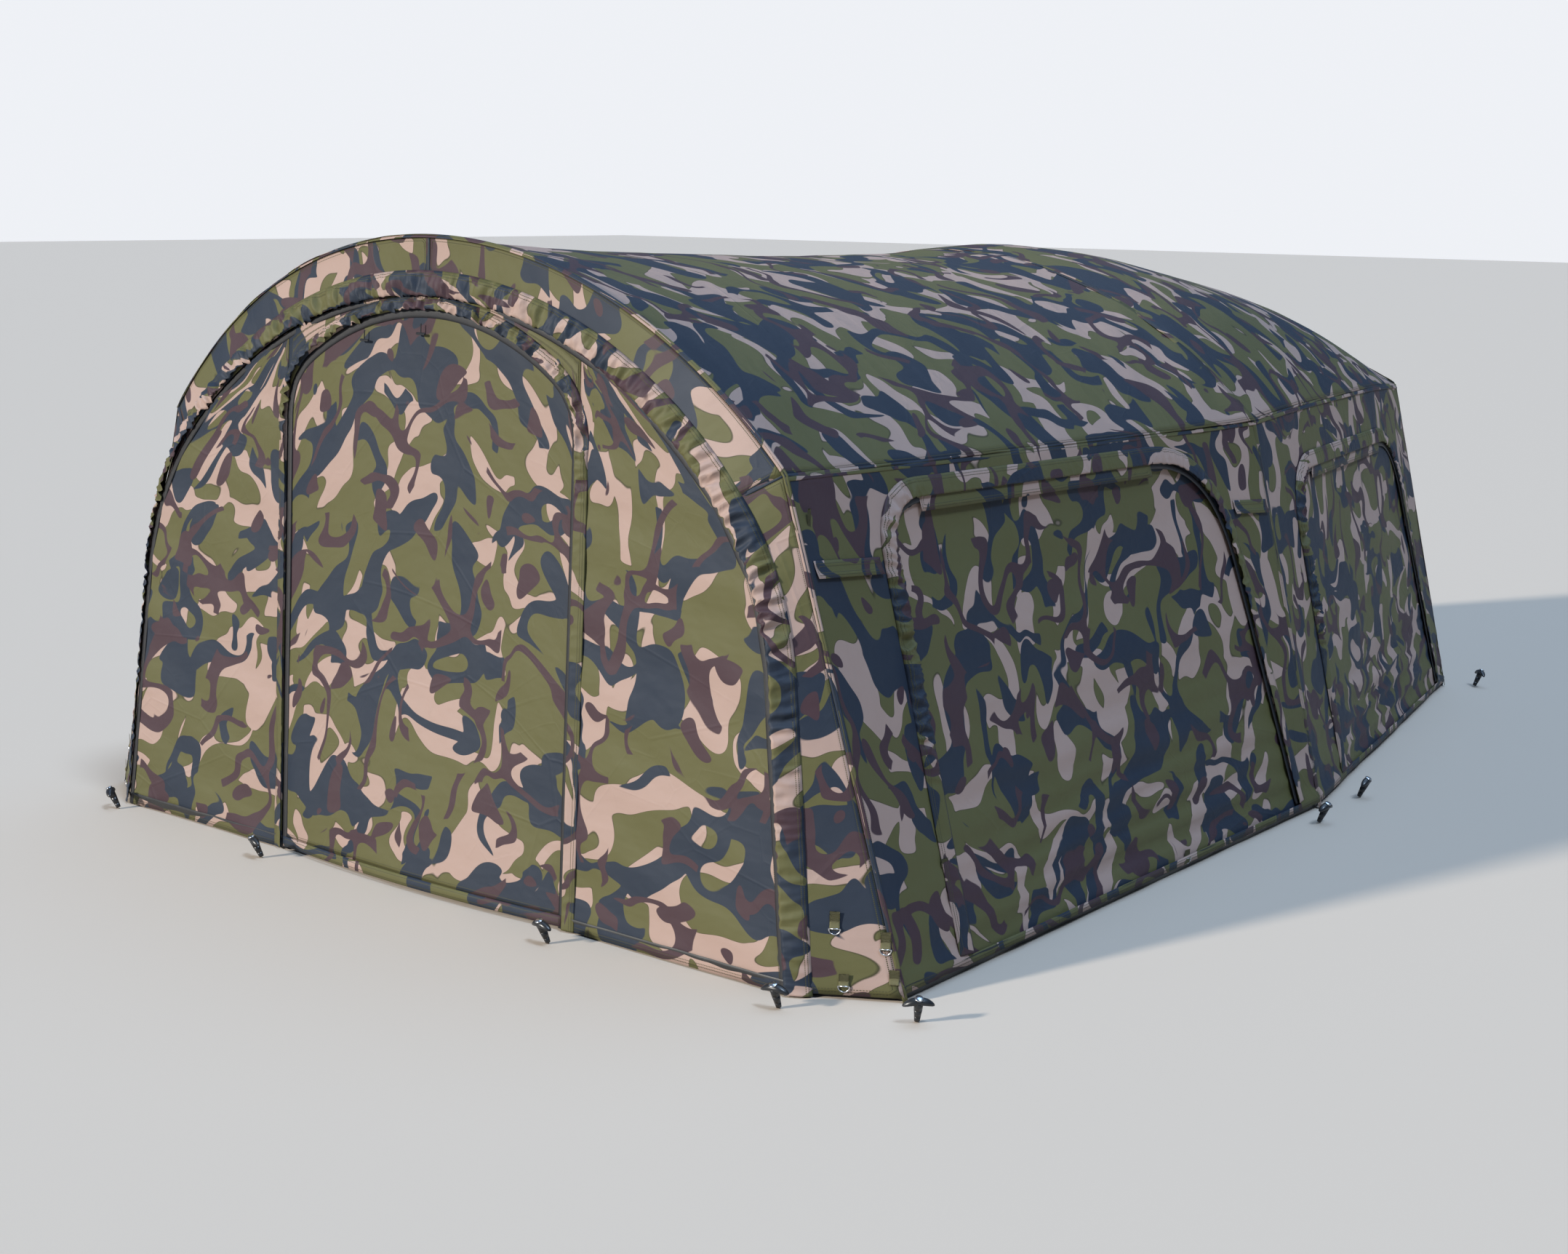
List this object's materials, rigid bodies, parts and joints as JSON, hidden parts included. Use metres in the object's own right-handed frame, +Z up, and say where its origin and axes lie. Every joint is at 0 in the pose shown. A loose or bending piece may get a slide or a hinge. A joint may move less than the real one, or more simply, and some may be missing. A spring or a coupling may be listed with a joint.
{
  "type": "walk-in camouflage field shelter",
  "caption": "Walk-in camouflage field shelter on three ribs: round front with a roll-up door, four roll-down window covers, floor sheet and T-handled ground pegs.",
  "frame": {"origin": "on the ground at the middle of the floor sheet, between the front wall and the rear wall, on the shelter centre line", "axes": "+Z up, -Y out of the front door, +X to the right of someone who stands outside the door and looks in"},
  "size_m": [3.1899, 4.6287, 1.699],
  "materials": {
    "camouflage_cloth": "printed coated polyester in four camouflage colours: olive, sand, slate navy and plum brown",
    "binding_cloth": "gathered and bound edges of the same printed cloth",
    "floor_cloth": "heavy coated ground cloth, dull dark olive",
    "anodised_tube": "dark grey anodised tube, satin",
    "moulded_black": "black glass-filled nylon mouldings",
    "peg_black": "black moulded handle with a silver disc over the steel shank"
  },
  "bodies": {
    "shelter": {"front_crown_tube_left": "anodised_tube", "front_leg_left": "anodised_tube", "front_elbow_left": "moulded_black", "front_crown_tube_right": "anodised_tube", "front_leg_right": "anodised_tube", "front_elbow_right": "moulded_black", "mid_crown_tube_left": "anodised_tube", "mid_leg_left": "anodised_tube", "mid_elbow_left": "moulded_black", "mid_crown_tube_right": "anodised_tube", "mid_leg_right": "anodised_tube", "mid_elbow_right": "moulded_black", "crown_block": "moulded_black", "rear_crown_tube": "anodised_tube", "rear_leg_left": "anodised_tube", "rear_leg_right": "anodised_tube", "ridge_pole": "anodised_tube", "eave_bar_left": "anodised_tube", "eave_bar_right": "anodised_tube", "front_roof": "camouflage_cloth", "rear_roof": "camouflage_cloth", "rear_wall": "camouflage_cloth", "front_arch_flap": "binding_cloth", "floor_sheet": "floor_cloth", "front_panel_left": "camouflage_cloth", "front_panel_right": "camouflage_cloth", "front_panel_top": "camouflage_cloth", "door_panel": "camouflage_cloth", "front_wall_strip_left": "camouflage_cloth", "mid_wall_strip_left": "camouflage_cloth", "rear_wall_strip_left": "camouflage_cloth", "front_window_panel_left": "camouflage_cloth", "rear_window_panel_left": "camouflage_cloth", "front_gusset_left": "camouflage_cloth", "front_rim_left": "camouflage_cloth", "front_wall_strip_right": "camouflage_cloth", "mid_wall_strip_right": "camouflage_cloth", "rear_wall_strip_right": "camouflage_cloth", "front_window_panel_right": "camouflage_cloth", "rear_window_panel_right": "camouflage_cloth", "front_gusset_right": "camouflage_cloth", "front_rim_right": "camouflage_cloth"},
    "door_hem": {"door_hem": "binding_cloth"},
    "front_window_header_left": {"front_window_header_left": "binding_cloth"},
    "front_window_header_right": {"front_window_header_right": "binding_cloth"},
    "rear_window_header_left": {"rear_window_header_left": "binding_cloth"},
    "rear_window_header_right": {"rear_window_header_right": "binding_cloth"},
    "peg_front_left": {"peg_front_left": "peg_black"},
    "peg_door_left": {"peg_door_left": "peg_black"},
    "peg_door_right": {"peg_door_right": "peg_black"},
    "peg_front_right": {"peg_front_right": "peg_black"},
    "peg_corner_right": {"peg_corner_right": "peg_black"},
    "peg_mid_front_right": {"peg_mid_front_right": "peg_black"},
    "peg_mid_rear_right": {"peg_mid_rear_right": "peg_black"},
    "peg_rear_right": {"peg_rear_right": "peg_black"},
    "peg_mid_front_left": {"peg_mid_front_left": "peg_black"},
    "peg_mid_rear_left": {"peg_mid_rear_left": "peg_black"},
    "peg_rear_left": {"peg_rear_left": "peg_black"},
    "door_toggle_left": {"door_toggle_left": "moulded_black"},
    "door_toggle_right": {"door_toggle_right": "moulded_black"}
  },
  "joints": [
    {"name": "door_roll", "type": "slide", "parent": "shelter", "child": "door_hem", "axis": [0, 0.0489, 0.9988], "range_m": [0, 1.16], "deforming": ["door_panel"]},
    {"name": "front_window_roll_left", "type": "slide", "parent": "shelter", "child": "front_window_header_left", "axis": [-0.2835, -0.0071, -0.9589], "range_m": [0, 1], "deforming": ["front_window_panel_left"]},
    {"name": "front_window_roll_right", "type": "slide", "parent": "shelter", "child": "front_window_header_right", "axis": [0.2835, -0.0071, -0.9589], "range_m": [0, 1], "deforming": ["front_window_panel_right"]},
    {"name": "rear_window_roll_left", "type": "slide", "parent": "shelter", "child": "rear_window_header_left", "axis": [-0.2099, 0.0185, -0.9775], "range_m": [0, 1], "deforming": ["rear_window_panel_left"]},
    {"name": "rear_window_roll_right", "type": "slide", "parent": "shelter", "child": "rear_window_header_right", "axis": [0.2099, 0.0185, -0.9775], "range_m": [0, 1], "deforming": ["rear_window_panel_right"]},
    {"name": "peg_front_left_pull", "type": "slide", "parent": "shelter", "child": "peg_front_left", "axis": [-0.2883, -0.2883, 0.9131], "range_m": [0, 0.12]},
    {"name": "peg_door_left_pull", "type": "slide", "parent": "shelter", "child": "peg_door_left", "axis": [-0.1395, -0.3832, 0.9131], "range_m": [0, 0.12]},
    {"name": "peg_door_right_pull", "type": "slide", "parent": "shelter", "child": "peg_door_right", "axis": [-0.0567, -0.4038, 0.9131], "range_m": [0, 0.12]},
    {"name": "peg_front_right_pull", "type": "slide", "parent": "shelter", "child": "peg_front_right", "axis": [0.0708, -0.4016, 0.9131], "range_m": [0, 0.12]},
    {"name": "peg_corner_right_pull", "type": "slide", "parent": "shelter", "child": "peg_corner_right", "axis": [0.2883, -0.2883, 0.9131], "range_m": [0, 0.12]},
    {"name": "peg_mid_front_right_pull", "type": "slide", "parent": "shelter", "child": "peg_mid_front_right", "axis": [0.4078, 0, 0.9131], "range_m": [0, 0.12]},
    {"name": "peg_mid_rear_right_pull", "type": "slide", "parent": "shelter", "child": "peg_mid_rear_right", "axis": [0.4016, 0.0708, 0.9131], "range_m": [0, 0.12]},
    {"name": "peg_rear_right_pull", "type": "slide", "parent": "shelter", "child": "peg_rear_right", "axis": [0.2621, 0.3124, 0.9131], "range_m": [0, 0.12]},
    {"name": "peg_mid_front_left_pull", "type": "slide", "parent": "shelter", "child": "peg_mid_front_left", "axis": [-0.4078, 0, 0.9131], "range_m": [0, 0.12]},
    {"name": "peg_mid_rear_left_pull", "type": "slide", "parent": "shelter", "child": "peg_mid_rear_left", "axis": [-0.4016, 0.0708, 0.9131], "range_m": [0, 0.12]},
    {"name": "peg_rear_left_pull", "type": "slide", "parent": "shelter", "child": "peg_rear_left", "axis": [-0.2621, 0.3124, 0.9131], "range_m": [0, 0.12]},
    {"name": "door_toggle_left_swing", "type": "hinge", "parent": "shelter", "child": "door_toggle_left", "pos_m": [-0.236, -2.13804, 1.45138], "axis": [-1, 0, 0], "range_deg": [0, 100]},
    {"name": "door_toggle_right_swing", "type": "hinge", "parent": "shelter", "child": "door_toggle_right", "pos_m": [-0.014, -2.13674, 1.47799], "axis": [-1, 0, 0], "range_deg": [0, 100]}
  ]
}
